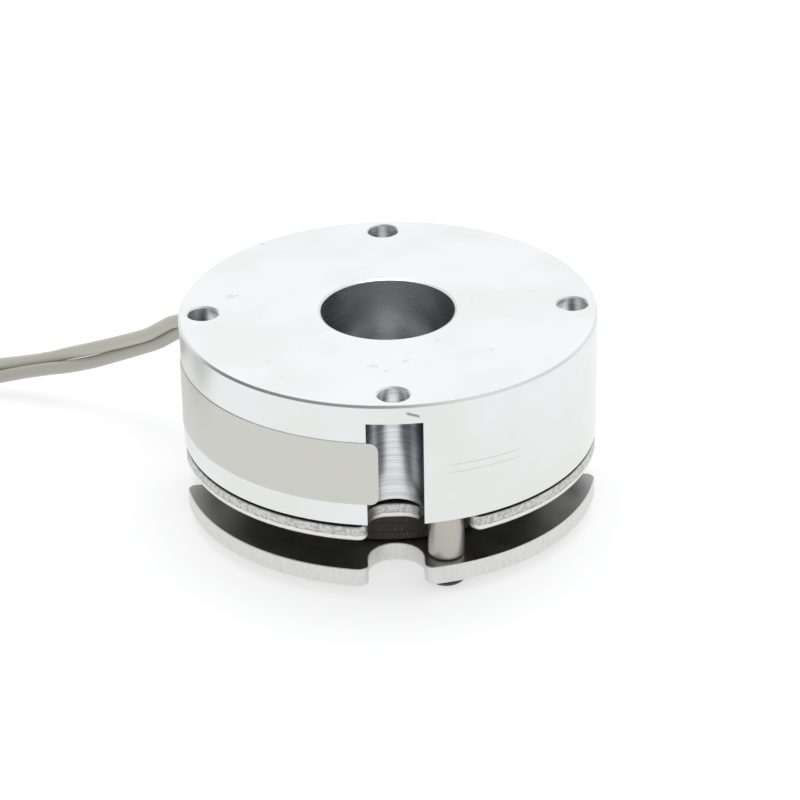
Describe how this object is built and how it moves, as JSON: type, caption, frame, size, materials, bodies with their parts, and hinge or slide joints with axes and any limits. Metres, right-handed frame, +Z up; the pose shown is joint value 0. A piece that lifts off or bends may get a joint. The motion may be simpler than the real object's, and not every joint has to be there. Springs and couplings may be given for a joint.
{
  "type": "electromagnetic brake",
  "caption": "Spring-applied electromagnetic brake: plated magnet body, sprung armature plate, friction disc on a hub, and an end plate, with a foil band and two coiled lead wires.",
  "frame": {"origin": "on the brake's axis, at the level of the screw heads' lowest faces, which it stands on", "axes": "+Z up along the brake's axis, out of the mounting face; -Y towards the notch at the front; +X to the right"},
  "size_m": [0.1192, 0.0652, 0.0286],
  "materials": {
    "plated_steel": "bright zinc plate over fine turning",
    "stamped_steel": "stamped, mottled rim with a bright lower edge",
    "carrier_steel": "satin",
    "spacer_steel": "warm satin, turned",
    "spring_steel": "drawn wire",
    "black_oxide": "black oxide, satin",
    "friction_lining": "rough moulded lining with pale specks",
    "hub_aluminium": "machined",
    "bobbin_nylon": "moulded",
    "copper_wire": "enamelled winding",
    "potting_resin": "cast resin",
    "label_foil": "satin foil",
    "bushing_rubber": "moulded rubber",
    "lead_insulation": "soft vinyl, off-white grey, slightly glossy",
    "tinned_wire": "tinned strands",
    "tie_nylon": "natural nylon"
  },
  "bodies": {
    "stator": {"magnet_body": "plated_steel", "coil_bobbin": "bobbin_nylon", "coil_winding": "copper_wire", "coil_potting": "potting_resin", "spring_1": "spring_steel", "spring_2": "spring_steel", "spring_3": "spring_steel", "spring_4": "spring_steel", "spring_5": "spring_steel", "spring_6": "spring_steel", "end_plate": "stamped_steel", "spacer_1": "spacer_steel", "spacer_2": "spacer_steel", "spacer_3": "spacer_steel", "cap_screw_1": "black_oxide", "cap_screw_2": "black_oxide", "cap_screw_3": "black_oxide", "foil_label": "label_foil", "lead_bushing": "bushing_rubber", "lead_upper": "lead_insulation", "lead_lower": "lead_insulation", "lead_upper_coil": "lead_insulation", "lead_lower_coil": "lead_insulation", "lead_tie": "tie_nylon"},
    "armature": {"armature_plate": "stamped_steel"},
    "rotor": {"rotor_hub": "hub_aluminium", "set_screw_1": "black_oxide", "set_screw_2": "black_oxide"},
    "disc": {"disc_carrier": "carrier_steel", "friction_ring_upper": "friction_lining", "friction_ring_lower": "friction_lining"}
  },
  "joints": [
    {"name": "armature_pull", "type": "slide", "parent": "stator", "child": "armature", "axis": [0, 0, 1], "range_m": [0, 0.00025], "stiffness_N_per_m": 2000, "springref_m": -0.001, "deforming": ["spring_1", "spring_2", "spring_3", "spring_4", "spring_5", "spring_6"]},
    {"name": "rotor_spin", "type": "hinge", "parent": "stator", "child": "rotor", "pos_m": [0, 0, 0.0088], "axis": [0, 0, 1], "continuous": true},
    {"name": "disc_float", "type": "slide", "parent": "rotor", "child": "disc", "axis": [0, 0, 1], "range_m": [-0.0001, 0.0001]}
  ]
}
